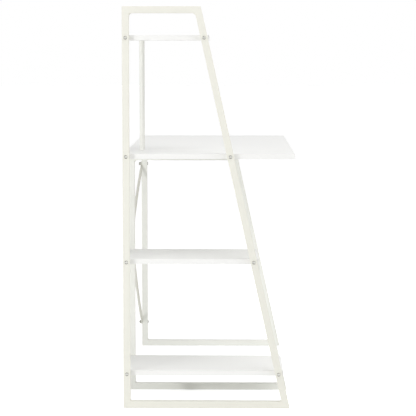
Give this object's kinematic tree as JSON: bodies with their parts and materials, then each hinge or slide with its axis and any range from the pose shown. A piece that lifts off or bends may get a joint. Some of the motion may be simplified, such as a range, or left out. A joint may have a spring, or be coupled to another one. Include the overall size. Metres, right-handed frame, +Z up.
{
  "type": "desk with shelves",
  "caption": "Narrow home desk on leaning steel tube frames, with a tall ladder-like shelf end, white boards and a rear cross brace.",
  "frame": {"origin": "on the floor, at the middle of the footprint of the whole desk", "axes": "+Z up; +X from the tall shelf end towards the far end of the desk; the front of the desk faces -Y"},
  "size_m": [1.0234, 0.5226, 1.17],
  "materials": {
    "powder_coated_tube": "satin cream powder coat",
    "post_tube": "satin cream powder coat",
    "brace_rod": "satin cream powder coat",
    "white_board": "white melamine faced chipboard, fine satin grain",
    "edge_band": "white edge band",
    "fastener": "zinc plated",
    "insert": "zinc plated"
  },
  "bodies": {
    "root": {"left_bottom_rail": "powder_coated_tube", "left_front_leg": "powder_coated_tube", "left_top_rail": "powder_coated_tube", "left_rear_post": "powder_coated_tube", "middle_bottom_rail": "powder_coated_tube", "middle_front_leg": "powder_coated_tube", "middle_top_rail": "powder_coated_tube", "middle_rear_post": "powder_coated_tube", "right_bottom_rail": "powder_coated_tube", "right_front_leg": "powder_coated_tube", "right_top_rail": "powder_coated_tube", "right_rear_post": "powder_coated_tube", "left_frame_welds": "powder_coated_tube", "middle_frame_welds": "powder_coated_tube", "right_frame_welds": "powder_coated_tube", "desktop": "white_board", "desktop_edge_bands": "edge_band", "desktop_inserts": "insert", "top_shelf": "white_board", "top_shelf_edge_bands": "edge_band", "top_shelf_inserts": "insert", "middle_shelf": "white_board", "middle_shelf_edge_bands": "edge_band", "middle_shelf_inserts": "insert", "bottom_shelf": "white_board", "bottom_shelf_edge_bands": "edge_band", "bottom_shelf_inserts": "insert", "desktop_left_bolts": "fastener", "top_shelf_left_bolts": "fastener", "middle_shelf_left_bolts": "fastener", "bottom_shelf_left_bolts": "fastener", "middle_shelf_right_bolts": "fastener", "bottom_shelf_right_bolts": "fastener", "middle_rail_bolts": "fastener", "right_rail_bolts": "fastener", "shelf_post_top_stud": "fastener", "shelf_post_bottom_bolt": "fastener", "shelf_post": "post_tube", "shelf_post_top_plug": "post_tube", "shelf_post_bottom_plug": "post_tube", "outer_brace": "brace_rod", "inner_brace": "brace_rod", "brace_bolts": "fastener", "brace_washers": "fastener", "brace_nuts": "fastener", "brace_rivet_nuts": "insert"}
  },
  "joints": []
}
